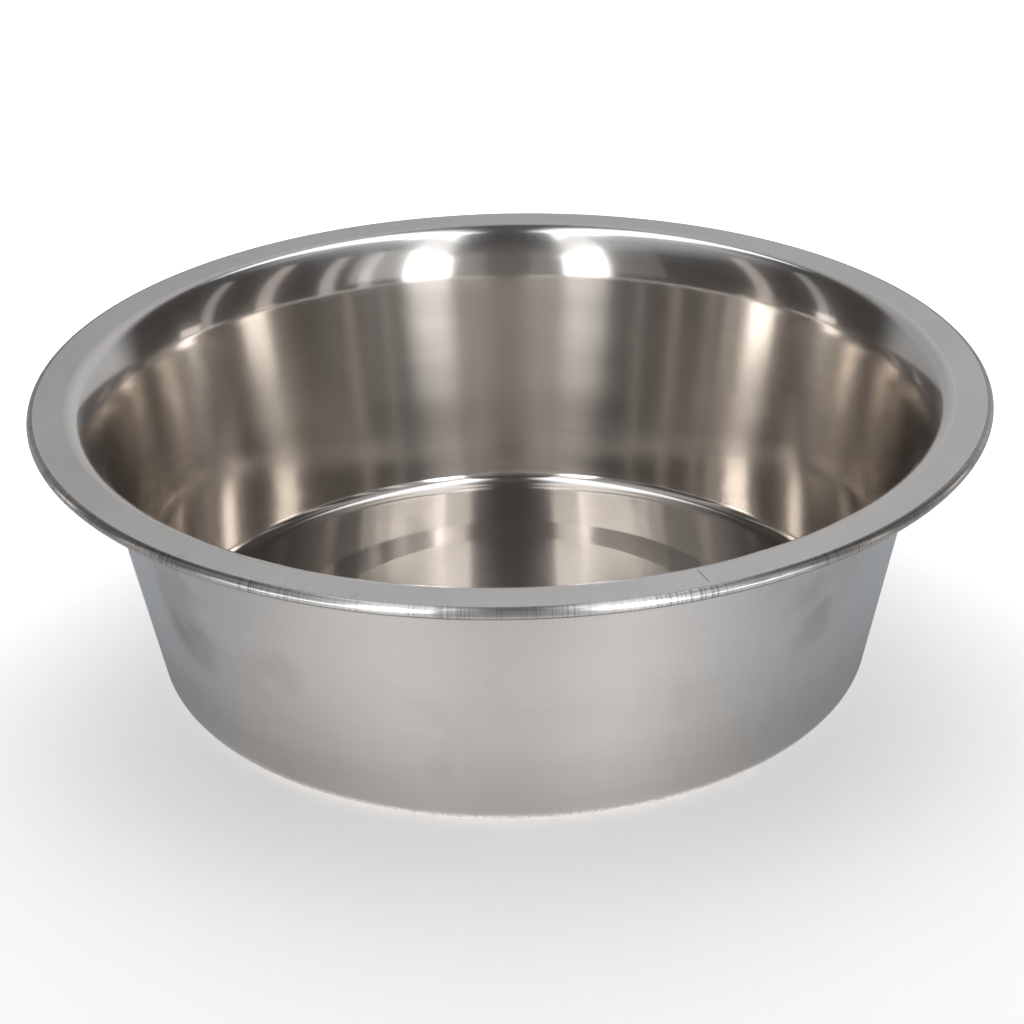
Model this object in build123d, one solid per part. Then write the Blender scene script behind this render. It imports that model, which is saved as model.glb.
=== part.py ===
from build123d import *
import os
from math import cos, radians, sin, tan

# Stainless dog bowl, drawn and rolled from one round sheet of steel.
# Millimetres, +Z up. The origin is the centre of the base, on the plane that the bowl stands on.

# Driving dimensions: the whole bowl
RIM_DIAMETER = 270.0
HEIGHT = 82.0
SHEET = 0.6

# Driving dimensions: the rim, from the outside of the bead inwards
BEAD_RADIUS = 1.7
BEAD_TURN = 220.0
FLANGE_WIDTH = 10.2
SHOULDER_RADIUS = 5.0
SHOULDER_TURN = 50.0
FLARE_RADIUS = 28.5

# Driving dimensions: the wall and the corner at its foot, measured on the inside
WALL_TAPER = 11.3
BASE_RADIUS = 4.3

# Driving dimensions: the floor, whose middle is pressed up so that the bowl stands on a ring
STANDING_RING_WIDTH = 29.5
STEP_WIDTH = 13.0
STEP_RADIUS = 8.0
FLOOR_RISE = 0.8


def wall_top():
    """Where the straight wall ends and the flare begins, on the inside of the sheet."""
    flare_turn = 90.0 - WALL_TAPER
    flange_inner = RIM_DIAMETER / 2 - FLANGE_WIDTH
    shoulder_in = SHOULDER_RADIUS * sin(radians(SHOULDER_TURN))
    shoulder_drop = SHOULDER_RADIUS * (1 - cos(radians(SHOULDER_TURN)))
    flare_in = FLARE_RADIUS * (sin(radians(flare_turn)) - sin(radians(SHOULDER_TURN)))
    flare_drop = FLARE_RADIUS * (cos(radians(SHOULDER_TURN)) - cos(radians(flare_turn)))
    return flange_inner - shoulder_in - flare_in, HEIGHT - shoulder_drop - flare_drop


def floor_and_wall():
    """The inside of the sheet from the middle of the floor to the top of the straight wall."""
    top_radius, top_height = wall_top()
    corner = top_radius - (top_height - SHEET) * tan(radians(WALL_TAPER))
    step_outer = corner - STANDING_RING_WIDTH
    step_inner = step_outer - STEP_WIDTH
    return FilletPolyline(
        (0, SHEET + FLOOR_RISE),
        (step_inner, SHEET + FLOOR_RISE),
        (step_outer, SHEET),
        (corner, SHEET),
        (top_radius, top_height),
        radius=[STEP_RADIUS, STEP_RADIUS, BASE_RADIUS],
    )


def bowl_shell():
    """The sheet's section, from the inside surface outwards, turned about the bowl's axis."""
    bead_centre = RIM_DIAMETER / 2 - BEAD_RADIUS
    with BuildPart() as shell:
        with BuildSketch(Plane.XZ):
            with BuildLine():
                wall = floor_and_wall()
                flare = JernArc(wall @ 1, wall % 1, FLARE_RADIUS, WALL_TAPER + SHOULDER_TURN - 90)
                shoulder = JernArc(flare @ 1, flare % 1, SHOULDER_RADIUS, -SHOULDER_TURN)
                flange = Line(shoulder @ 1, (bead_centre, HEIGHT))
                JernArc(flange @ 1, flange % 1, BEAD_RADIUS, -BEAD_TURN)
                offset(amount=SHEET, side=Side.RIGHT)
            make_face()
        revolve(axis=Axis.Z)
    return shell.part


os.makedirs("parts", exist_ok=True)
export_step(bowl_shell(), "parts/bowl_shell.step")
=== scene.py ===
# Stainless dog bowl: one drawn and rolled sheet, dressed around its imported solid.
# Metres, +Z up, with the origin at the centre of the base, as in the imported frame.
from collections import namedtuple
from math import atan, cos, pi, radians, sin, tan

import bmesh
import bpy
from bpy.props import FloatProperty, FloatVectorProperty, IntProperty, PointerProperty
from mathutils import Matrix, Quaternion, Vector


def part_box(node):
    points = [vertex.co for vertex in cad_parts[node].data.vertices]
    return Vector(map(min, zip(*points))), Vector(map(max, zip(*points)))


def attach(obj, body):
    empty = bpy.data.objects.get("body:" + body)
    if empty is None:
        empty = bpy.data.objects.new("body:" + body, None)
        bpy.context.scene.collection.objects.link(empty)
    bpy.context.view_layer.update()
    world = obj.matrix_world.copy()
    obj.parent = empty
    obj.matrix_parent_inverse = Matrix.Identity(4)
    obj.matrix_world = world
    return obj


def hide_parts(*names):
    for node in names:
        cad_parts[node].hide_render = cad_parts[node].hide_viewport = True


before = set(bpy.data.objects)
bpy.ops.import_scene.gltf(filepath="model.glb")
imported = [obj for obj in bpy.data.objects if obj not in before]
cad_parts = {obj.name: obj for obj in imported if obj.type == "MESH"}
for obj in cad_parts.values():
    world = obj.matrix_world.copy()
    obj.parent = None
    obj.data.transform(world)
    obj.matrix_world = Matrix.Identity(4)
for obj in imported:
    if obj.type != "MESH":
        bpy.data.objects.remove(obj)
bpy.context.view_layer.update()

bl_info = {
    "name": "Stainless dog bowl",
    "version": (1, 0, 0),
    "blender": (4, 5, 0),
    "location": "View3D > Sidebar > Bowl",
    "description": "Turns a drawn steel bowl about its axis and sets a small studio around it",
    "category": "Add Mesh",
}

NODE = "bowl_shell"
BODY = "root"
MM = 0.001
WHITE = (1.0, 1.0, 1.0)
BLACK = (0.0, 0.0, 0.0)
WARM = (1.0, 0.9, 0.84)
COOL = (0.93, 1.0, 1.08)
NODE_LOW, NODE_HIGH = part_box(NODE)


# Settings that a user may change


def size(name, description, default):
    """A length."""
    return FloatProperty(
        name=name, description=description, default=default, min=0, precision=5, unit="LENGTH"
    )


def angle(name, description, degrees):
    """An angle."""
    return FloatProperty(
        name=name, description=description, default=radians(degrees), unit="ROTATION"
    )


def share(name, description, default):
    """A share from 0 to 1."""
    return FloatProperty(
        name=name, description=description, default=default, min=0, max=1, subtype="FACTOR"
    )


def strength(name, description, default):
    """A brightness."""
    return FloatProperty(name=name, description=description, default=default, min=0)


def colour(name, description, default):
    """A linear colour."""
    return FloatVectorProperty(
        name=name,
        description=description,
        default=default,
        size=3,
        min=0,
        soft_max=1,
        subtype="COLOR",
    )


class BowlSizes(bpy.types.PropertyGroup):
    """The bowl's sizes. The sheet's line is its inside surface."""

    rim_diameter: size("Rim diameter", "Across the outside of the bead", NODE_HIGH.x - NODE_LOW.x)
    height: size("Height", "From the floor to the top of the flange", NODE_HIGH.z - NODE_LOW.z)
    sheet: size("Sheet", "Thickness of the steel", 0.6 * MM)
    bead_radius: size("Bead radius", "Outside radius of the rolled edge", 1.7 * MM)
    bead_turn: angle("Bead turn", "How far the edge is rolled over", 220)
    flange_width: size("Flange width", "From the outside of the bead to the shoulder", 10.2 * MM)
    shoulder_radius: size("Shoulder radius", "Bend from the flange into the flare", 5.0 * MM)
    shoulder_turn: angle("Shoulder turn", "How far the shoulder bends down", 50)
    flare_radius: size("Flare radius", "Wide bend from the shoulder into the wall", 28.5 * MM)
    wall_taper: angle("Wall taper", "Lean of the straight wall", 11.3)
    base_radius: size("Base radius", "Bend from the wall into the floor", 4.3 * MM)
    ring_width: size("Standing ring width", "Flat ring that the bowl stands on", 29.5 * MM)
    step_width: size("Step width", "Slope from the ring to the middle of the floor", 13.0 * MM)
    step_radius: size("Step radius", "Bend at each side of the slope", 8.0 * MM)
    floor_rise: size("Floor rise", "Height of the floor's middle over the ring", 0.8 * MM)
    segments: IntProperty(name="Segments", description="Faces round the bowl", default=300, min=16)


class SteelFinish(bpy.types.PropertyGroup):
    """The finishes of the sheet's surfaces."""

    inside_colour: colour("Inside colour", "Polished steel inside the bowl", (0.665, 0.62, 0.575))
    outside_colour: colour("Outside colour", "Satin steel outside", (0.63, 0.612, 0.595))
    bead_colour: colour("Bead colour", "Polished steel of the rolled bead", (0.7, 0.69, 0.68))
    inside_roughness: share("Inside roughness", "Blur of the polished inside", 0.1)
    flange_roughness: share("Flange roughness", "Blur of the satin flange", 0.32)
    bead_roughness: share("Bead roughness", "Blur of the rolled bead", 0.16)
    outside_roughness: share("Outside roughness", "Blur of the satin outside", 0.38)


class Studio(bpy.types.PropertyGroup):
    """Camera, floor, lights and room."""

    lens: FloatProperty(
        name="Lens", description="Focal length on a 36 mm sensor", default=95.43, min=1
    )
    distance: size("Camera distance", "From the camera to the point that it aims at", 784.8 * MM)
    elevation: angle("Camera elevation", "Above the horizon", 26.72)
    roll: angle("Camera roll", "About the line of sight", -1.163)
    aim_height: size("Aim height", "Height of the point that the camera aims at", 40.2 * MM)
    floor_colour: colour("Floor colour", "Pale floor", (0.9, 0.9, 0.9))
    floor_mirrored: colour("Mirrored floor", "The floor as the steel mirrors it", (0.4, 0.4, 0.4))
    front_glow: colour("Front glow", "Mirrored light of the floor in front", (0.83, 0.79, 0.765))
    side_glow: colour("Side glow", "Mirrored light of the floor at the sides", (0.34, 0.4, 0.46))
    spill_glow: colour("Spill", "Mirrored light of the floor by the front panels", (3.8, 3.8, 3.8))
    floor_glow: strength("Floor glow", "Light from the floor itself", 0.3)
    floor_back_glow: strength("Back floor glow", "More light from the floor behind the bowl", 0.35)
    overhead: strength("Overhead light", "Radiance of the light on the floor alone", 1.44)
    panels: strength("Front panels", "Radiance of the tall panels beside the camera", 4.3)
    high_panels: strength("High panels", "Radiance of the tall panels' upper part", 1.0)
    ceiling: strength("Ceiling strips", "Radiance of the long strips over the bowl", 2.2)
    wings: strength("Wings", "Radiance of the panels that only the bowl's floor mirrors", 4.0)
    halo: strength("Halo", "Radiance of the dim panels beside the front panels", 0.3)
    strips: strength("Side strips", "Radiance of the narrow strips at the sides", 0.62)
    room_front: colour("Room in front", "Dim room behind the camera", (0.18, 0.17, 0.163))
    room_side: colour("Room at the sides", "Dim room left and right", (0.065, 0.061, 0.058))
    room_back_left: colour("Room behind, left", "Bright surround on the left", (0.44, 0.44, 0.44))
    room_back_right: colour(
        "Room behind, right", "Bright surround on the right", (0.63, 0.63, 0.635)
    )
    room_top: colour("Room above", "Ceiling left and right", (0.55, 0.56, 0.58))


# Nodes as expressions


class Sock:
    """A node's output. Arithmetic on it adds Math nodes, and node() adds any other node."""

    def __init__(self, tree, output=None):
        self.tree = tree
        self.output = output

    def node(self, kind, settings=None, sockets=None, out=0):
        """A new node, with its settings, then its sockets' values or links. Gives one output."""
        made = self.tree.nodes.new(kind)
        for name, value in (settings or {}).items():
            setattr(made, name, value)
        for name, value in (sockets or {}).items():
            if isinstance(value, Sock):
                self.tree.links.new(value.output, made.inputs[name])
            else:
                made.inputs[name].default_value = value
        return Sock(self.tree, made.outputs[out] if len(made.outputs) else None)

    def out(self, name):
        """Another output of the same node."""
        return Sock(self.tree, self.output.node.outputs[name])

    def math(self, operation, first, *others):
        """A Math node."""
        sockets = dict(enumerate((first, *others)))
        return self.node("ShaderNodeMath", {"operation": operation}, sockets)

    def __add__(self, other):
        return self.math("ADD", self, other)

    __radd__ = __add__

    def __sub__(self, other):
        return self.math("SUBTRACT", self, other)

    def __rsub__(self, other):
        return self.math("SUBTRACT", other, self)

    def __mul__(self, other):
        return self.math("MULTIPLY", self, other)

    __rmul__ = __mul__

    def __truediv__(self, other):
        return self.math("DIVIDE", self, other)

    def __pow__(self, other):
        return self.math("POWER", self, other)

    def __abs__(self):
        return self.math("ABSOLUTE", self)

    def smooth(self, low, high):
        """0 below low, 1 above high, and a smooth rise between."""
        return self.node(
            "ShaderNodeMapRange",
            {"interpolation_type": "SMOOTHSTEP"},
            {"Value": self, "From Min": low, "From Max": high},
        )

    def between(self, low, high):
        """low where this is 0, high where it is 1, and even between."""
        return low + (high - low) * self

    def mix(self, first, second):
        """The first colour where this is 0, and the second where it is 1."""
        sockets = {0: self, 6: first, 7: second}
        return self.node("ShaderNodeMix", {"data_type": "RGBA"}, sockets, out=2)


def rgba(values):
    """A colour with full alpha, as colour sockets take it."""
    return (*values, 1.0)


def cleared(owner):
    """The empty node tree of a material, world or light."""
    owner.use_nodes = True
    owner.node_tree.nodes.clear()
    return owner.node_tree


def link(thing):
    """Puts an object in the scene."""
    bpy.context.scene.collection.objects.link(thing)
    return thing


# The sheet's section, with the points along each of its stretches

FLOOR_POINTS = 10
STEP_BEND_POINTS = 4
STEP_SLOPE_POINTS = 8
RING_POINTS = 10
BASE_POINTS = 22
WALL_POINTS = 14
FLARE_POINTS = 16
SHOULDER_POINTS = 16
FLANGE_POINTS = 8
BEAD_POINTS = 26
FINISHES = ("inside", "flange", "bead", "outside")


class SheetLine:
    """The sheet's inside line, walked outwards from the axis as runs and arcs, end to end."""

    def __init__(self, height):
        self.at = Vector((0, height))
        self.heading = 0.0
        self.zones = []

    def zone(self, finish):
        """Starts a stretch of one finish."""
        self.zones.append((finish, [(self.at.copy(), self.heading)]))

    def mark(self):
        """Keeps the place that the walk has come to."""
        self.zones[-1][1].append((self.at.copy(), self.heading))

    def run(self, length, steps):
        """A straight run, with closer points at its two ends."""
        start = self.at.copy()
        ahead = Vector((cos(self.heading), sin(self.heading)))
        for step in range(1, steps + 1):
            self.at = start + ahead * length * (1 - cos(pi * step / steps)) / 2
            self.mark()

    def arc(self, radius, turn, steps):
        """An arc that turns the heading, to the left where turn is positive."""
        side = 1 if turn > 0 else -1
        for _ in range(steps):
            before = self.heading
            self.heading += turn / steps
            ahead = Vector((sin(self.heading) - sin(before), cos(before) - cos(self.heading)))
            self.at = self.at + side * radius * ahead
            self.mark()


def sheet_line(s):
    """The inside line from the middle of the floor to the end of the bead."""
    flare_turn = pi / 2 - s.wall_taper - s.shoulder_turn
    step_slope = atan(s.floor_rise / s.step_width)
    step_tangent = s.step_radius * tan(step_slope / 2)
    base_turn = pi / 2 - s.wall_taper
    base_tangent = s.base_radius * tan(base_turn / 2)
    shoulder_start = s.rim_diameter / 2 - s.flange_width
    shoulder_in = s.shoulder_radius * sin(s.shoulder_turn)
    shoulder_drop = s.shoulder_radius * (1 - cos(s.shoulder_turn))
    flare_in = s.flare_radius * (sin(base_turn) - sin(s.shoulder_turn))
    flare_drop = s.flare_radius * (cos(s.shoulder_turn) - cos(base_turn))
    wall_rise = s.height - shoulder_drop - flare_drop - s.sheet
    corner = shoulder_start - shoulder_in - flare_in - wall_rise * tan(s.wall_taper)
    line = SheetLine(s.sheet + s.floor_rise)
    line.zone("inside")
    line.run(corner - s.ring_width - s.step_width - step_tangent, FLOOR_POINTS)
    line.arc(s.step_radius, -step_slope, STEP_BEND_POINTS)
    line.run(s.step_width / cos(step_slope) - 2 * step_tangent, STEP_SLOPE_POINTS)
    line.arc(s.step_radius, step_slope, STEP_BEND_POINTS)
    line.run(s.ring_width - step_tangent - base_tangent, RING_POINTS)
    line.arc(s.base_radius, base_turn, BASE_POINTS)
    line.run(wall_rise / cos(s.wall_taper) - base_tangent, WALL_POINTS)
    line.arc(s.flare_radius, -flare_turn, FLARE_POINTS)
    line.arc(s.shoulder_radius, -s.shoulder_turn, SHOULDER_POINTS)
    line.zone("flange")
    line.run(s.flange_width - s.bead_radius, FLANGE_POINTS)
    line.zone("bead")
    line.arc(s.bead_radius, -s.bead_turn, BEAD_POINTS)
    return line


def section_zones(s):
    """The closed section by finish: the inside line, the cut edge and the outside line back."""
    def outer(station):
        at, heading = station
        return at + s.sheet * Vector((sin(heading), -cos(heading)))

    inside = sheet_line(s).zones
    zones = [(finish, [at for at, _ in stations]) for finish, stations in inside]
    last = inside[-1][1][-1]
    zones.append(("bead", [last[0], outer(last)]))
    for _, stations in reversed(inside):
        zones.append(("outside", [outer(station) for station in reversed(stations)]))
    return zones


def section_mesh(s):
    """The section as edges in the XY plane, X outwards and Y up, with each point's finish."""
    points, edges, finishes = [], [], []
    for finish, stretch in section_zones(s):
        first = len(points)
        points += [(at.x, at.y, 0.0) for at in stretch]
        edges += [(i, i + 1) for i in range(first, len(points) - 1)]
        finishes += [FINISHES.index(finish)] * len(stretch)
    mesh = bpy.data.meshes.new("bowl_section")
    mesh.from_pydata(points, edges, [])
    mesh.attributes.new("finish", "INT", "POINT").data.foreach_set("value", finishes)
    return mesh


# The turned shell

WELD = 0.002 * MM
SHARP_EDGE = radians(40)


def turning_tree():
    """Geometry nodes that turn a section about the Z axis, weld it and give it its finishes."""
    tree = bpy.data.node_groups.new("turned_section", "GeometryNodeTree")
    tree.is_modifier = True
    face = tree.interface
    face.new_socket("Geometry", in_out="INPUT", socket_type="NodeSocketGeometry")
    face.new_socket("Rim Radius", in_out="INPUT", socket_type="NodeSocketFloat")
    face.new_socket("Segments", in_out="INPUT", socket_type="NodeSocketInt")
    face.new_socket("Weld Distance", in_out="INPUT", socket_type="NodeSocketFloat")
    for finish in FINISHES:
        face.new_socket(finish, in_out="INPUT", socket_type="NodeSocketMaterial")
    face.new_socket("Geometry", in_out="OUTPUT", socket_type="NodeSocketGeometry")
    given = Sock(tree).node("NodeGroupInput")
    rim = given.out("Rim Radius")
    inset = rim.node("ShaderNodeCombineXYZ", sockets={"X": 0 - rim})
    line = given.node("GeometryNodeMeshToCurve", sockets={"Mesh": given})
    line = line.node(
        "GeometryNodeTransform",
        sockets={"Geometry": line, "Translation": inset, "Scale": (1.0, -1.0, 1.0)},
    )
    circle = given.node(
        "GeometryNodeCurvePrimitiveCircle",
        {"mode": "RADIUS"},
        {"Resolution": given.out("Segments"), "Radius": rim},
    )
    shell = circle.node(
        "GeometryNodeCurveToMesh", sockets={"Curve": circle, "Profile Curve": line}
    )
    whole_number = {"data_type": "INT"}
    finish = given.node("GeometryNodeInputNamedAttribute", whole_number, {"Name": "finish"})
    shell = shell.node(
        "GeometryNodeStoreNamedAttribute",
        {"data_type": "INT", "domain": "FACE"},
        {"Geometry": shell, "Name": "face_finish", "Value": finish},
    )
    shell = shell.node(
        "GeometryNodeMergeByDistance",
        sockets={"Geometry": shell, "Distance": given.out("Weld Distance")},
    )
    shell = shell.node("GeometryNodeRealizeInstances", sockets={"Geometry": shell})
    kept = given.node("GeometryNodeInputNamedAttribute", whole_number, {"Name": "face_finish"})
    for number, finish in enumerate(FINISHES):
        same = kept.node(
            "FunctionNodeCompare",
            {"data_type": "INT", "operation": "EQUAL"},
            {2: kept, 3: number},
        )
        shell = shell.node(
            "GeometryNodeSetMaterial",
            sockets={"Geometry": shell, "Selection": same, "Material": given.out(finish)},
        )
    shell.node("NodeGroupOutput", sockets={0: shell})
    return tree


def set_input(modifier, name, value):
    """Sets a modifier's input by its socket's identifier."""
    for item in modifier.node_group.interface.items_tree:
        if item.item_type == "SOCKET" and item.in_out == "INPUT" and item.name == name:
            modifier[item.identifier] = value
            return
    raise KeyError(name)


def point_outwards(mesh):
    """Turns every face of a closed mesh outwards, and stops if the mesh is open."""
    work = bmesh.new()
    work.from_mesh(mesh)
    open_edges = [edge for edge in work.edges if not edge.is_manifold]
    if open_edges:
        raise RuntimeError(f"the turned shell has {len(open_edges)} open edges")
    bmesh.ops.recalc_face_normals(work, faces=work.faces)
    work.to_mesh(mesh)
    work.free()


def turned_shell(s, materials):
    """The bowl's shell as one closed mesh."""
    line = link(bpy.data.objects.new("bowl_section", section_mesh(s)))
    turn = line.modifiers.new("turn", "NODES")
    turn.node_group = turning_tree()
    set_input(turn, "Rim Radius", s.rim_diameter / 2)
    set_input(turn, "Segments", s.segments)
    set_input(turn, "Weld Distance", WELD)
    for finish in FINISHES:
        set_input(turn, finish, materials[finish])
    ready = line.evaluated_get(bpy.context.evaluated_depsgraph_get())
    mesh = bpy.data.meshes.new_from_object(ready)
    bpy.data.objects.remove(line)
    mesh.name = "steel_bowl"
    mesh.materials.pop(index=0)
    if list(mesh.materials) != [materials[finish] for finish in FINISHES]:
        raise RuntimeError("the turned shell has other materials than its finishes")
    mesh.attributes.remove(mesh.attributes["finish"])
    mesh.attributes.remove(mesh.attributes["face_finish"])
    point_outwards(mesh)
    mesh.shade_smooth()
    mesh.set_sharp_from_angle(angle=SHARP_EDGE)
    return link(bpy.data.objects.new("steel_bowl", mesh))


# Finishes. A pair is where a change starts and ends, and a noise's scale is in cells per metre

NO_DIVISION_BY_ZERO = 1e-9
CLOUDS = {"scale": 28.0, "detail": 3.0}
CLOUD_TONE = (0.95, 1.05)
HAZE_CLOUDS = {"scale": 33.0, "detail": 3.0}
HAZE_SHARE = (0.8, 1.2)
HALF = 0.5

# Straight scratches: cells per metre along and across, the edge of one, and the long one's place
SCRATCH_LONG = 70.0
SCRATCH_FINE = 1300.0
SCRATCH_EDGE = 0.04
SCRATCH_ANGLE = radians(-68.9)
SCRATCH_WIDTH = 0.25 * MM
SCRATCH_SIDE = (0.0, 0.5)

# Polish lines round the bowl
POLISH_LINES = {"along_scale": 3500.0, "round_scale": 6.0}
POLISH_TONE = 0.05
POLISH_BLUR = 0.04
POLISH_STRENGTH = 0.25
ACROSS_THE_LINES = 0.25

# Polished inside, by height
INSIDE_WALL = (1.5 * MM, 5 * MM)
INSIDE_HIGH_WALL = (22 * MM, 36 * MM)
INSIDE_FLARE = (52 * MM, 60 * MM)
INSIDE_SATIN = (66 * MM, 80 * MM)
INSIDE_SHOULDER = (79.6 * MM, 80.6 * MM)
INSIDE_FLOOR_HAZE = 0.5
INSIDE_WALL_HAZE = 0.15
INSIDE_HIGH_WALL_HAZE = 0.5
INSIDE_FLARE_HAZE = 0.3
INSIDE_LOW_TONE = 0.9
INSIDE_HIGH_TONE = 0.1
INSIDE_SHOULDER_TONE = 0.1
INSIDE_BANDS = {"along_scale": 450.0, "round_scale": 2.0}
INSIDE_BAND_TONE = 0.06
INSIDE_BAND_BLUR = 0.04
WATER_MARKS = {"scale": 55.0, "detail": 4.0}
WATER_MARK_EDGE = (0.54, 0.72)
WATER_MARK_TONE = 0.07
WATER_MARK_BLUR = 0.03
DENTS = {"scale": 60.0, "detail": 2.0}
DENT_DEPTH = 0.006

# Satin flange
FLANGE_EDGE = (128.5 * MM, 133 * MM)
FLANGE_GROUPS = {"along_scale": 1.0, "round_scale": 9.0}
FLANGE_GROUP_EDGE = (0.52, 0.66)
FLANGE_DRAWS = {"along_scale": 25.0, "round_scale": 330.0}
FLANGE_DRAW_EDGE = (0.58, 0.72)
FLANGE_LONE_DRAWS = 0.15
FLANGE_DRAW_TONE = 0.35
FLANGE_DRAW_DEPTH = 0.01
FLANGE_CLOUDS = {"scale": 22.0, "detail": 4.0}
FLANGE_CLOUD_TONE = (0.88, 1.12)
FLANGE_SPOTS = {"scale": 60.0, "detail": 3.0}
FLANGE_SPOT_BLUR = 0.08
STRAY_SCRATCHES = (((0.5, 1.0, 0.0), 0.83), ((-0.6, 1.0, 0.0), 0.84))
STRAY_TONE = 0.12
STRAY_BLUR = 0.05
CUT_END = (131 * MM, 132 * MM)
CUT_TONE = 0.5

# Rolled bead
BEAD_DRAWS = {"along_scale": 35.0, "round_scale": 280.0, "detail": 4.0}
BEAD_DRAW_EDGE = (0.46, 0.68)
BEAD_GROUPS = {"along_scale": 2.0, "round_scale": 12.0}
BEAD_GROUP_EDGE = (0.45, 0.66)
BEAD_GROUP_SHARE = (0.35, 1.0)
# Painted shade under the bead: its tone falls to a small share below these heights, into the gap
# under the roll
BEAD_UNDER_SHADE_FADE = (78.8 * MM, 80.2 * MM)
BEAD_UNDER_SHADE_TONE = 0.12
# Painted shade along the bead's top: its tone is halved over these heights
BEAD_TOP = (81.2 * MM, 81.9 * MM)
BEAD_TOP_PAINTED_SHADE = 0.5
BEAD_DRAW_TONE = (1.1, 0.5)
BEAD_DRAW_BLUR = 0.08

# Satin outside
ROUND_LINES = {"along_scale": 700.0, "round_scale": 3.0, "detail": 3.0}
UPRIGHT_LINES = {"along_scale": 12.0, "round_scale": 160.0, "detail": 2.0}
OUTSIDE_LINE_TONE = 0.07
OUTSIDE_LINE_BLUR = 0.04
OUTSIDE_BANDS = {"along_scale": 90.0, "round_scale": 1.2}
OUTSIDE_BAND_TONE = (0.96, 1.04)
# The edge that the bowl stands on: grainy scuffs, partly real wear and partly a painted highlight
# along the base edge
STANDING_EDGE = (1.6 * MM, 3.4 * MM)
SCUFFS = {"scale": 900.0, "detail": 2.0}
SCUFF_EDGE = (0.3, 0.6)
SCUFF_AND_HIGHLIGHT_TONE = 0.8
SCUFF_BLUR = 0.15
SCUFF_DUST = 0.2
FILM = {"scale": 40.0, "detail": 4.0}
FILM_EDGE = (0.55, 0.7)
FILM_SHARE = 0.12
STAIN = (0.4, 0.34, 0.28)
SMUDGE_RAGS = {"scale": 85.0, "detail": 4.0}
SMUDGE_TEAR = 1.8
SMUDGE_EDGE = (0.3, 1.1)
Smudge = namedtuple("Smudge", "middle reach amount")
SMUDGES = (
    Smudge((-0.0895, -0.067, 0.05), 15 * MM, 0.35),
    Smudge((-0.0838, -0.069, 0.038), 11.5 * MM, 0.4),
    Smudge((-0.0605, -0.0922, 0.042), 9 * MM, 0.2),
    Smudge((0.0764, -0.0835, 0.056), 10 * MM, 0.3),
    Smudge((0.078, -0.079, 0.045), 10 * MM, 0.35),
)


class Place:
    """A point of the sheet: its height, its radius, and its way along the section and round."""

    def __init__(self, tree):
        self.at = Sock(tree).node("ShaderNodeTexCoord", out="Object")
        part = self.at.node("ShaderNodeSeparateXYZ", sockets={0: self.at})
        x, y = part, part.out("Y")
        self.height = part.out("Z")
        self.radius = (x * x + y * y + NO_DIVISION_BY_ZERO) ** 0.5
        self.along = self.radius + self.height
        self.across = x / self.radius
        self.side = y / self.radius

    def noise(self, scale, detail):
        """Even noise."""
        sockets = {"Vector": self.at, "Scale": scale, "Detail": detail}
        return self.at.node("ShaderNodeTexNoise", sockets=sockets)

    def drawn_noise(self, along_scale, round_scale, detail=2.0):
        """Noise drawn out round the bowl or across the sheet, whichever scale is the smaller."""
        where = self.along.node(
            "ShaderNodeCombineXYZ",
            sockets={
                "X": self.along * along_scale,
                "Y": self.across * round_scale,
                "Z": self.side * round_scale,
            },
        )
        sockets = {"Vector": where, "Scale": 1.0, "Detail": detail}
        return where.node("ShaderNodeTexNoise", sockets=sockets)

    def vector_math(self, operation, other):
        """A number from the point and another vector."""
        sockets = {0: self.at, 1: other}
        return self.at.node("ShaderNodeVectorMath", {"operation": operation}, sockets, out="Value")

    def hairlines(self, way, rarity):
        """Short straight scratches along one way, fewer where rarity is nearer to 1."""
        way = Vector(way).normalized()
        flat = way.orthogonal().normalized()
        axes = (way * SCRATCH_LONG, flat * SCRATCH_FINE, way.cross(flat) * SCRATCH_FINE)
        parts = [self.vector_math("DOT_PRODUCT", axis) for axis in axes]
        where = self.at.node("ShaderNodeCombineXYZ", sockets=dict(enumerate(parts)))
        sockets = {"Vector": where, "Scale": 1.0, "Detail": 0.0}
        field = where.node("ShaderNodeTexNoise", sockets=sockets)
        return field.smooth(rarity, rarity + SCRATCH_EDGE)

    def radial_scratch(self, turn, width):
        """One thin straight scratch across the rim, at an angle from the +X axis."""
        beside = self.radius * (self.side * cos(turn) - self.across * sin(turn))
        ahead = self.across * cos(turn) + self.side * sin(turn)
        return (1 - abs(beside).smooth(width / 2, width)) * ahead.smooth(*SCRATCH_SIDE)


class Wear:
    """What a finish adds to plain steel. What it leaves out stays a plain number or none."""

    def __init__(self, place):
        self.tone = place.noise(**CLOUDS).between(*CLOUD_TONE)
        self.share = place.noise(**HAZE_CLOUDS).between(*HAZE_SHARE)
        self.rough = 0.0
        self.relief = 0.0
        self.bare = 1.0
        self.stain = None


def inside_wear(place):
    """Polished inside: hazier high on the wall, darker low down and a little lighter at the
    shoulder, with dried water marks.
    """
    wear = Wear(place)
    wall = place.height.smooth(*INSIDE_WALL)
    high = place.height.smooth(*INSIDE_HIGH_WALL)
    flare = place.height.smooth(*INSIDE_FLARE)
    shoulder = place.height.smooth(*INSIDE_SHOULDER)
    haze = INSIDE_FLOOR_HAZE + INSIDE_WALL_HAZE * wall + INSIDE_HIGH_WALL_HAZE * high
    wear.share = wear.share * (haze - INSIDE_FLARE_HAZE * flare)
    marks = place.noise(**WATER_MARKS).smooth(*WATER_MARK_EDGE)
    bands = place.drawn_noise(**INSIDE_BANDS) - HALF
    shade = INSIDE_LOW_TONE + INSIDE_HIGH_TONE * high + INSIDE_SHOULDER_TONE * shoulder
    wear.tone = wear.tone * (1 - WATER_MARK_TONE * marks) * shade + INSIDE_BAND_TONE * bands
    wear.rough = WATER_MARK_BLUR * marks + INSIDE_BAND_BLUR * bands
    wear.stain = place.height.smooth(*INSIDE_SATIN)
    wear.relief = DENT_DEPTH * place.noise(**DENTS)
    return wear


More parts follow.
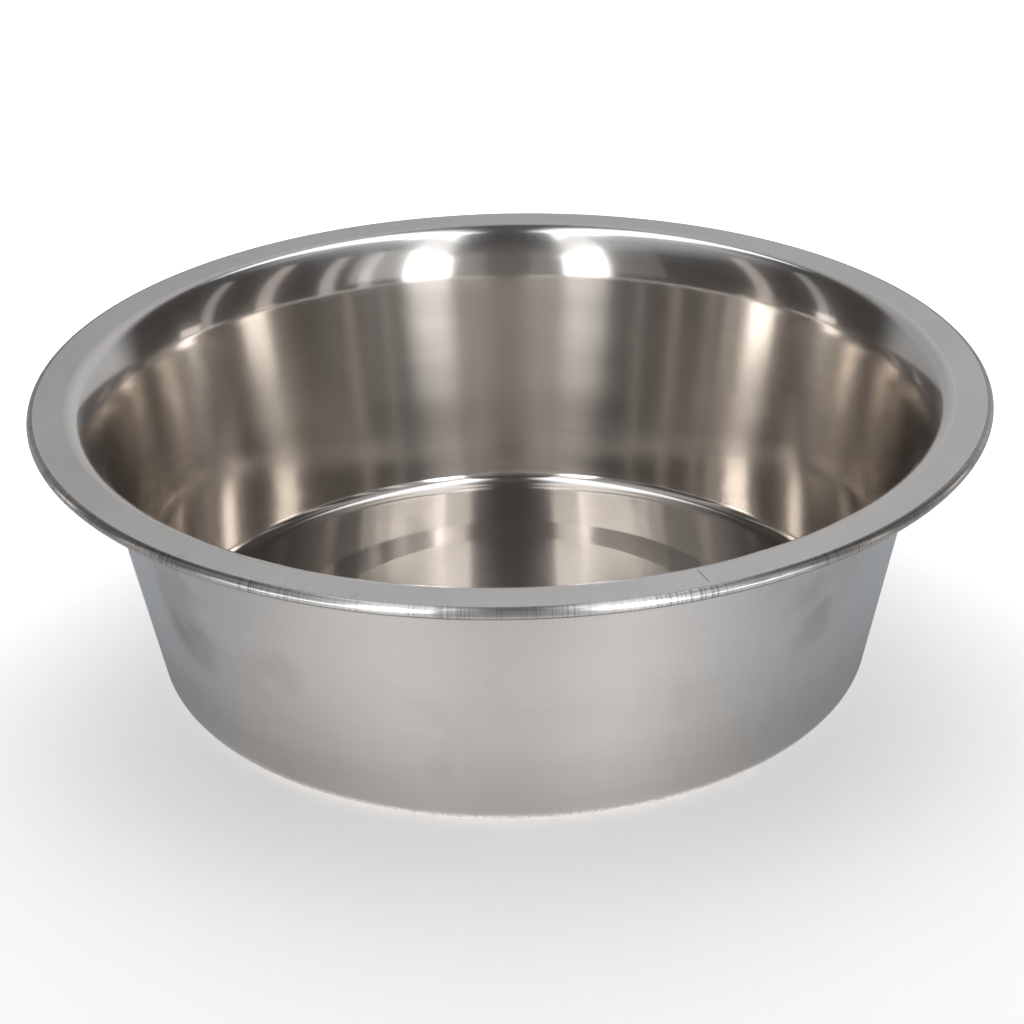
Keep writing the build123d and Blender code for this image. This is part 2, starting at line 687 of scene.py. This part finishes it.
def flange_wear(place):
    """Satin flange: cloudy, with marks from drawing at its outer edge and a few stray scratches."""
    wear = Wear(place)
    edge = place.radius.smooth(*FLANGE_EDGE)
    group = place.drawn_noise(**FLANGE_GROUPS).smooth(*FLANGE_GROUP_EDGE)
    draws = place.drawn_noise(**FLANGE_DRAWS).smooth(*FLANGE_DRAW_EDGE)
    draws = draws * (FLANGE_LONE_DRAWS + group) * edge
    first, second = (place.hairlines(way, rarity) for way, rarity in STRAY_SCRATCHES)
    strays = first + second
    cut = place.radial_scratch(SCRATCH_ANGLE, SCRATCH_WIDTH)
    cut = cut * (1 - place.radius.smooth(*CUT_END))
    tone = place.noise(**FLANGE_CLOUDS).between(*FLANGE_CLOUD_TONE)
    tone = tone * (1 - FLANGE_DRAW_TONE * draws)
    wear.tone = tone * (1 + STRAY_TONE * strays) * (1 - CUT_TONE * cut)
    wear.rough = FLANGE_SPOT_BLUR * (place.noise(**FLANGE_SPOTS) - HALF) - STRAY_BLUR * strays
    wear.relief = FLANGE_DRAW_DEPTH * draws
    return wear


def bead_wear(place):
    """Rolled bead: fine marks across it from the rolling tool, painted shade in the gap under it
    and painted shade along its top.
    """
    wear = Wear(place)
    group = place.drawn_noise(**BEAD_GROUPS).smooth(*BEAD_GROUP_EDGE)
    draws = place.drawn_noise(**BEAD_DRAWS).smooth(*BEAD_DRAW_EDGE)
    draws = draws * group.between(*BEAD_GROUP_SHARE)
    # Painted shade: the bead darkens below these heights, towards the gap under it
    above_under_shade = place.height.smooth(*BEAD_UNDER_SHADE_FADE)
    # Painted shade: top darkens the bead's upper part
    top = place.height.smooth(*BEAD_TOP)
    tone = wear.tone * draws.between(*BEAD_DRAW_TONE)
    wear.tone = tone * above_under_shade.between(BEAD_UNDER_SHADE_TONE, 1.0) * (1 - BEAD_TOP_PAINTED_SHADE * top)
    wear.rough = BEAD_DRAW_BLUR * draws
    return wear


def outside_wear(place):
    """Satin outside: faint lines both ways, brown smudges, and a scuffed edge that it stands on,
    lighter there as partly wear and partly a painted highlight.
    """
    wear = Wear(place)
    lines = place.drawn_noise(**ROUND_LINES) + place.drawn_noise(**UPRIGHT_LINES) - 1.0
    bands = place.drawn_noise(**OUTSIDE_BANDS)
    stain = FILM_SHARE * place.noise(**FILM).smooth(*FILM_EDGE)
    for smudge in SMUDGES:
        away = place.vector_math("DISTANCE", smudge.middle)
        torn = away / smudge.reach + SMUDGE_TEAR * (place.noise(**SMUDGE_RAGS) - HALF)
        stain = stain + smudge.amount * (1 - torn.smooth(*SMUDGE_EDGE))
    edge = 1 - place.height.smooth(*STANDING_EDGE)
    scuff_and_highlight = edge * place.noise(**SCUFFS).smooth(*SCUFF_EDGE)
    tone = wear.tone * bands.between(*OUTSIDE_BAND_TONE)
    # The standing edge is lighter: partly scuffed wear, partly a painted highlight
    wear.tone = tone * (1 + OUTSIDE_LINE_TONE * lines) * (1 + SCUFF_AND_HIGHLIGHT_TONE * scuff_and_highlight)
    wear.rough = OUTSIDE_LINE_BLUR * lines + SCUFF_BLUR * scuff_and_highlight
    wear.stain = stain
    wear.bare = 1 - SCUFF_DUST * scuff_and_highlight
    return wear


Lobe = namedtuple("Lobe", "roughness anisotropy")


def steel(name, wear_of, base, core, haze, haze_share, line_depth, stain=None):
    """Steel polished round the bowl: a clear mirror, and a haze drawn out across its fine lines."""
    material = bpy.data.materials.new(name)
    place = Place(cleared(material))
    wear = wear_of(place)
    lines = place.drawn_noise(**POLISH_LINES)
    tone = wear.tone + POLISH_TONE * (lines - HALF)
    ground = rgba(base)
    if wear.stain:
        ground = wear.stain.mix(ground, rgba(stain))
    tint = tone.node(
        "ShaderNodeMix",
        {"data_type": "RGBA", "blend_type": "MULTIPLY"},
        {0: 1.0, 6: ground, 7: tone},
        out=2,
    )
    relief = line_depth * lines + wear.relief
    bump = lines.node(
        "ShaderNodeBump",
        sockets={"Strength": POLISH_STRENGTH, "Distance": MM, "Height": relief},
    )
    lobes = []
    for lobe in (core, haze):
        blur = lobe.roughness + wear.rough + POLISH_BLUR * (lines - HALF)
        lobes.append(bump.node(
            "ShaderNodeBsdfPrincipled",
            sockets={
                "Base Color": tint,
                "Metallic": wear.bare,
                "Roughness": blur,
                "Normal": bump,
                "Anisotropic": lobe.anisotropy,
                "Anisotropic Rotation": ACROSS_THE_LINES,
            },
        ))
    surface = bump.node(
        "ShaderNodeMixShader",
        sockets={0: haze_share * wear.share, 1: lobes[0], 2: lobes[1]},
    )
    surface.node("ShaderNodeOutputMaterial", sockets={"Surface": surface})
    return material


def finish_materials(f):
    """One material for each finish."""
    return {
        "inside": steel(
            "polished_inside",
            inside_wear,
            base=f.inside_colour,
            core=Lobe(f.inside_roughness, anisotropy=0.5),
            haze=Lobe(roughness=0.23, anisotropy=0.95),
            haze_share=0.5,
            line_depth=0.0006,
            stain=f.outside_colour,
        ),
        "flange": steel(
            "satin_flange",
            flange_wear,
            base=f.outside_colour,
            core=Lobe(f.flange_roughness, anisotropy=0.0),
            haze=Lobe(roughness=0.4, anisotropy=0.3),
            haze_share=0.4,
            line_depth=0.003,
        ),
        "bead": steel(
            "polished_bead",
            bead_wear,
            base=f.bead_colour,
            core=Lobe(f.bead_roughness, anisotropy=0.7),
            haze=Lobe(roughness=0.42, anisotropy=0.95),
            haze_share=0.6,
            line_depth=0.001,
        ),
        "outside": steel(
            "satin_outside",
            outside_wear,
            base=f.outside_colour,
            core=Lobe(f.outside_roughness, anisotropy=0.2),
            haze=Lobe(roughness=0.52, anisotropy=0.7),
            haze_share=0.6,
            line_depth=0.003,
            stain=STAIN,
        ),
    }


# Floor. A pair is where a change starts and ends, and away is from the bowl's axis

FLOOR_RADIUS = 4.0
FLOOR_SEGMENTS = 96
FAR_GLOW = 0.6
FAR_GLOW_AWAY = (0.55, 1.3)
BACK_GLOW_Y = (-0.12, 0.14)
FRONT_GLOW_X = -0.02
FRONT_GLOW_ASIDE = (0.03, 0.2)
FRONT_GLOW_AHEAD = (0.02, 0.1)
NEAR_GLOW = (0.38, 1.0)
NEAR_GLOW_AWAY = (0.106, 0.165)
NEAR_GLOW_END = (0.175, 0.215)
FOOT_GLOW = 0.35
FOOT_GLOW_END = (0.1035, 0.1055)
SPILL_INNER = (0.31, 0.5)
SPILL_OUTER = (0.78, 0.94)
SPILL_AHEAD = (0.0, 0.05)
SPILL_AWAY = (0.34, 0.46)
SPILL_END = (1.0, 1.4)
FLOOR_CENTRE = 1e-4


def floor_material(studio):
    """Pale paper that glows a little, more so towards the back, to stay pale beside the bowl.

    The steel mirrors it darker, with glows in front, at the sides, at the foot and by the panels.
    """
    material = bpy.data.materials.new("pale_floor")
    at = Sock(cleared(material)).node("ShaderNodeTexCoord", out="Object")
    part = at.node("ShaderNodeSeparateXYZ", sockets={0: at})
    x, y = part, part.out("Y")
    ahead = 0 - y
    away = (x * x + y * y) ** 0.5
    seen = at.node("ShaderNodeLightPath", out="Is Camera Ray")
    mirrored = seen.out("Is Glossy Ray")
    middle = 1 - abs(x - FRONT_GLOW_X).smooth(*FRONT_GLOW_ASIDE)
    middle = middle * ahead.smooth(*FRONT_GLOW_AHEAD)
    foot = 1 - away.smooth(*FOOT_GLOW_END)
    near = away.smooth(*NEAR_GLOW_AWAY).between(*NEAR_GLOW) * (1 - away.smooth(*NEAR_GLOW_END))
    near = near + FOOT_GLOW * foot
    turn = abs(x) / (away + FLOOR_CENTRE)
    spill = turn.smooth(*SPILL_INNER) * (1 - turn.smooth(*SPILL_OUTER))
    spill = spill * ahead.smooth(*SPILL_AHEAD)
    spill = spill * away.smooth(*SPILL_AWAY) * (1 - away.smooth(*SPILL_END))
    own = studio.floor_glow + studio.floor_back_glow * y.smooth(*BACK_GLOW_Y)
    own = own + FAR_GLOW * away.smooth(*FAR_GLOW_AWAY)
    glow = middle.mix(rgba(studio.side_glow), rgba(studio.front_glow))
    glow = (mirrored * near).mix(rgba(BLACK), glow)
    glow = (mirrored * spill).mix(glow, rgba(studio.spill_glow))
    glow = (seen * own).mix(glow, rgba(WHITE))
    paper = mirrored.mix(rgba(studio.floor_colour), rgba(studio.floor_mirrored))
    paper = paper.node("ShaderNodeBsdfDiffuse", sockets={"Color": paper})
    shine = glow.node("ShaderNodeEmission", sockets={"Color": glow})
    both = at.node("ShaderNodeAddShader", sockets={0: paper, 1: shine})
    both.node("ShaderNodeOutputMaterial", sockets={"Surface": both})
    return material


def floor_disc(studio):
    """The pale floor."""
    work = bmesh.new()
    bmesh.ops.create_circle(work, cap_ends=True, segments=FLOOR_SEGMENTS, radius=FLOOR_RADIUS)
    mesh = bpy.data.meshes.new("floor")
    work.to_mesh(mesh)
    work.free()
    mesh.materials.append(floor_material(studio))
    return link(bpy.data.objects.new("floor", mesh))


# Room, by the parts of a direction

ROOM_UPPER = (0.6, 0.75)
ROOM_FRONT = (0.6, 0.95)
ROOM_BACK = (0.52, 0.72)
ROOM_BACK_SLOPE = 2.0
ROOM_ASIDE = (0.2, 0.45)
ROOM_TOP = (0.57, 0.8)
ROOM_TOP_FRONT = (-0.25, 0.1)
ROOM_TOP_TILT = 0.08
ROOM_TOP_TILT_X = (-0.3, 0.3)


def room(studio):
    """The room that the steel mirrors: dim in front, bright behind. The camera sees it white."""
    world = bpy.data.worlds.new("room")
    bpy.context.scene.world = world
    way = Sock(cleared(world)).node("ShaderNodeTexCoord", out="Generated")
    part = way.node("ShaderNodeSeparateXYZ", sockets={0: way})
    x, y, z = part, part.out("Y"), part.out("Z")
    ahead = 0 - y
    front = ahead.smooth(*ROOM_FRONT) * (1 - z.smooth(*ROOM_UPPER))
    back = y.smooth(*ROOM_BACK)
    above = (z - ROOM_TOP_TILT * x.smooth(*ROOM_TOP_TILT_X)).smooth(*ROOM_TOP)
    above = above * abs(x).smooth(*ROOM_ASIDE) * ahead.smooth(*ROOM_TOP_FRONT)
    rear = HALF + ROOM_BACK_SLOPE * x
    rear = rear.mix(rgba(studio.room_back_left), rgba(studio.room_back_right))
    tone = front.mix(rgba(studio.room_side), rgba(studio.room_front))
    tone = back.mix(tone, rear)
    tone = above.mix(tone, rgba(studio.room_top))
    seen = way.node("ShaderNodeLightPath", out="Is Camera Ray").mix(tone, rgba(WHITE))
    glow = seen.node("ShaderNodeBackground", sockets={"Color": seen})
    glow.node("ShaderNodeOutputWorld", sockets={"Surface": glow})


# Lights

LAYERS = 3
LAYER_GAP = 2 * MM
DEEP = 2.5
BOWL = (0.0, 0.0, 0.0)

# The tall panels beside the camera, each of three parts one over the other
PANEL_X = 0.37
PANEL_Y = -0.885
PANEL_WIDTH = 0.57
PANEL_EDGE = 0.03
PANEL_SHARE = {"left": 0.95, "right": 1.3}
PANEL_LOW = (0.01, 0.8)
PANEL_HIGH = (0.8, 1.5)
PANEL_TOP = (1.5, 2.5)

# The long strips over the bowl, from their front to their back end
CEILING_X = 0.185
CEILING_Y = (-0.36, 0.6)
CEILING_HEIGHT = 0.9
CEILING_WIDTH = 0.21
CEILING_EDGE = 0.02

# The panels that only the bowl's floor mirrors. Each layer is a little shorter than the last
WING_INNER = (0.28, -0.49, 0.757)
WING_OUTER = (0.56, -0.24, 0.733)
WING_WIDTH = 0.045
WING_FADE = 0.18
WING_AIM = (0.0, 0.1, 0.012)

# Upright strips: the place on the floor, lowest and highest point, width, share and tint
Strip = namedtuple("Strip", "x y low high width share tint")
GLOWS = (
    Strip(0.69, -0.14, 0.02, 0.14, 0.1, 1.0, WARM),
    Strip(0.68, 0.22, 0.02, 0.2, 0.1, 2.0, WARM),
)
HALOS = {
    "halo_right": Strip(0.62, -0.72, 0.25, 1.1, 0.3, 1.4, WHITE),
    "halo_left": Strip(-0.62, -0.72, 0.25, 1.1, 0.3, 0.4, WHITE),
    "halo_middle_right": Strip(0.205, -1.0, 0.15, 0.85, 0.17, 0.6, WHITE),
    "halo_middle_left": Strip(-0.205, -1.0, 0.15, 0.85, 0.17, 0.4, WHITE),
}
SIDE_STRIPS = {
    "strip_left_1": Strip(-0.699, -0.067, 0.02, 0.8, 0.07, 1.0, WARM),
    "strip_left_2": Strip(-0.68, 0.21, 0.12, 0.7, 0.055, 0.75, WHITE),
    "strip_right_1": Strip(0.69, -0.13, 0.02, 0.8, 0.07, 1.0, WARM),
    "strip_right_2": Strip(0.7, 0.14, 0.12, 0.7, 0.055, 0.75, WHITE),
    "strip_right_3": Strip(0.524, -0.527, 0.12, 0.85, 0.055, 1.0, WHITE),
    "strip_right_4": Strip(0.628, -0.4, 0.12, 0.85, 0.065, 1.0, WHITE),
}


def strip_light(name, start, end, width, radiance, tint=WHITE, aim=BOWL, mirrored=True, deep=False):
    """A rectangular light of even radiance about the line from start to end, turned towards aim.

    A mirrored light shows in the steel and leaves the floor alone, and any other does the reverse.
    A deep light shows only where the steel mirrors it by way of a second place on the bowl.
    """
    start, end = Vector(start), Vector(end)
    along = (end - start).normalized()
    centre = (start + end) / 2
    towards = Vector(aim) - centre
    back = (along * towards.dot(along) - towards).normalized()
    light = bpy.data.lights.new(name, "AREA")
    light.shape = "RECTANGLE"
    light.size = width
    light.size_y = (end - start).length
    light.color = tint
    light.energy = radiance * pi * light.size * light.size_y
    lamp = link(bpy.data.objects.new(name, light))
    lamp.location = centre
    lamp.rotation_mode = "QUATERNION"
    lamp.rotation_quaternion = Matrix((along.cross(back), along, back)).transposed().to_quaternion()
    if deep:
        depth = Sock(cleared(light)).node("ShaderNodeLightPath", out="Ray Depth")
        second = depth.math("GREATER_THAN", depth, DEEP)
        shine = depth.node("ShaderNodeEmission", sockets={"Strength": second})
        shine.node("ShaderNodeOutputLight", sockets={"Surface": shine})
    lamp.visible_glossy = mirrored
    lamp.visible_diffuse = not mirrored
    lamp.visible_camera = False


def soft_panel(name, start, end, width, radiance, edge, tint=WHITE, aim=BOWL):
    """A panel whose long edges fade: layers of growing width, a little apart."""
    start, end, aim = Vector(start), Vector(end), Vector(aim)
    ahead = (aim - (start + end) / 2).normalized()
    for layer in range(LAYERS):
        step = layer - LAYERS // 2
        apart = ahead * step * LAYER_GAP
        strip_light(
            f"{name}_{layer + 1}",
            start + apart,
            end + apart,
            width + 2 * step * edge,
            radiance / LAYERS,
            tint,
            aim + apart,
        )


def standing_strip(name, strip, radiance, side=1):
    """An upright strip over a point of the floor, turned to the bowl."""
    low = (side * strip.x, strip.y, strip.low)
    high = (side * strip.x, strip.y, strip.high)
    strip_light(name, low, high, strip.width, strip.share * radiance, strip.tint)


def front_panel(word, side, studio):
    """One tall panel beside the camera."""
    levels = (
        ("low", PANEL_LOW, studio.panels * PANEL_SHARE[word]),
        ("high", PANEL_HIGH, studio.high_panels),
        ("top", PANEL_TOP, studio.ceiling),
    )
    for level, (low, high), radiance in levels:
        soft_panel(
            f"front_{word}_{level}",
            start=(side * PANEL_X, PANEL_Y, low),
            end=(side * PANEL_X, PANEL_Y, high),
            width=PANEL_WIDTH,
            radiance=radiance,
            edge=PANEL_EDGE,
            aim=(0.0, PANEL_Y, low),
        )


def ceiling_strip(word, side, studio):
    """One long strip over the bowl."""
    front, back = CEILING_Y
    soft_panel(
        f"ceiling_{word}",
        start=(side * CEILING_X, front, CEILING_HEIGHT),
        end=(side * CEILING_X, back, CEILING_HEIGHT),
        width=CEILING_WIDTH,
        radiance=studio.ceiling,
        edge=CEILING_EDGE,
        tint=COOL,
    )


def wing(word, side, studio):
    """One panel that only the bowl's floor mirrors, by way of the wall. Its outer end fades."""
    mirror = Vector((side, 1, 1))
    inner = Vector(WING_INNER) * mirror
    outer = Vector(WING_OUTER) * mirror
    for layer in range(LAYERS):
        apart = Vector((0.0, 0.0, layer * LAYER_GAP))
        strip_light(
            f"wing_{word}_{layer + 1}",
            start=inner + apart,
            end=inner.lerp(outer, 1 - WING_FADE * layer) + apart,
            width=WING_WIDTH,
            radiance=studio.wings / LAYERS,
            aim=WING_AIM,
            deep=True,
        )


def lights(studio):
    """Panels and strips, placed as the steel mirrors them, and one light over the floor."""
    strip_light(
        "overhead",
        start=(0.0, -0.85, 1.6),
        end=(0.0, 1.55, 1.6),
        width=2.4,
        radiance=studio.overhead,
        mirrored=False,
    )
    for word, side in (("left", -1), ("right", 1)):
        front_panel(word, side, studio)
        ceiling_strip(word, side, studio)
        wing(word, side, studio)
        for number, strip in enumerate(GLOWS, 1):
            standing_strip(f"glow_{word}_{number}", strip, studio.strips, side)
    for name, strip in HALOS.items():
        standing_strip(name, strip, studio.halo)
    for name, strip in SIDE_STRIPS.items():
        standing_strip(name, strip, studio.strips)


# Camera

SENSOR = 36.0
CLIP_START = 0.01
CLIP_END = 50.0


def photo_camera(studio):
    """The camera at the photograph's angle."""
    data = bpy.data.cameras.new("camera")
    data.sensor_fit = "HORIZONTAL"
    data.sensor_width = SENSOR
    data.lens = studio.lens
    data.clip_start = CLIP_START
    data.clip_end = CLIP_END
    camera = link(bpy.data.objects.new("camera", data))
    back = Vector((0.0, -cos(studio.elevation), sin(studio.elevation)))
    camera.location = Vector((0.0, 0.0, studio.aim_height)) + back * studio.distance
    camera.rotation_mode = "QUATERNION"
    level = (-back).to_track_quat("-Z", "Y")
    camera.rotation_quaternion = level @ Quaternion((0.0, 0.0, 1.0), studio.roll)
    bpy.context.scene.camera = camera


# Operators and panel


class BOWL_OT_shell(bpy.types.Operator):
    """Turn the steel shell about its axis and give its surfaces their finishes"""

    bl_idname = "bowl.shell"
    bl_label = "Steel shell"

    def execute(self, context):
        scene = context.scene
        shell = turned_shell(scene.bowl_sizes, finish_materials(scene.bowl_finish))
        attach(shell, BODY)
        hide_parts(NODE)
        return {"FINISHED"}


class BOWL_OT_stage(bpy.types.Operator):
    """Set the floor, the room, the lights and the camera"""

    bl_idname = "bowl.stage"
    bl_label = "Stage"

    def execute(self, context):
        studio = context.scene.bowl_studio
        context.scene.view_settings.view_transform = "Standard"
        floor = floor_disc(studio)
        room(studio)
        lights(studio)
        photo_camera(studio)
        return {"FINISHED"}


class BOWL_PT_panel(bpy.types.Panel):
    """The bowl's sizes, finishes and studio, and the steps that make them"""

    bl_idname = "BOWL_PT_panel"
    bl_label = "Stainless dog bowl"
    bl_space_type = "VIEW_3D"
    bl_region_type = "UI"
    bl_category = "Bowl"

    def draw(self, context):
        scene = context.scene
        steps = (
            (BOWL_OT_shell, (scene.bowl_sizes, scene.bowl_finish)),
            (BOWL_OT_stage, (scene.bowl_studio,)),
        )
        for operator, groups in steps:
            box = self.layout.box()
            box.operator(operator.bl_idname)
            for group in groups:
                for name in group.__annotations__:
                    box.prop(group, name)


CLASSES = (BowlSizes, SteelFinish, Studio, BOWL_OT_shell, BOWL_OT_stage, BOWL_PT_panel)
GROUPS = {"bowl_sizes": BowlSizes, "bowl_finish": SteelFinish, "bowl_studio": Studio}


def register():
    for cls in CLASSES:
        bpy.utils.register_class(cls)
    for name, group in GROUPS.items():
        setattr(bpy.types.Scene, name, PointerProperty(type=group))


def unregister():
    for name in GROUPS:
        delattr(bpy.types.Scene, name)
    for cls in reversed(CLASSES):
        bpy.utils.unregister_class(cls)


def main():
    register()
    bpy.ops.bowl.shell()
    bpy.ops.bowl.stage()


if __name__ == "__main__":
    main()
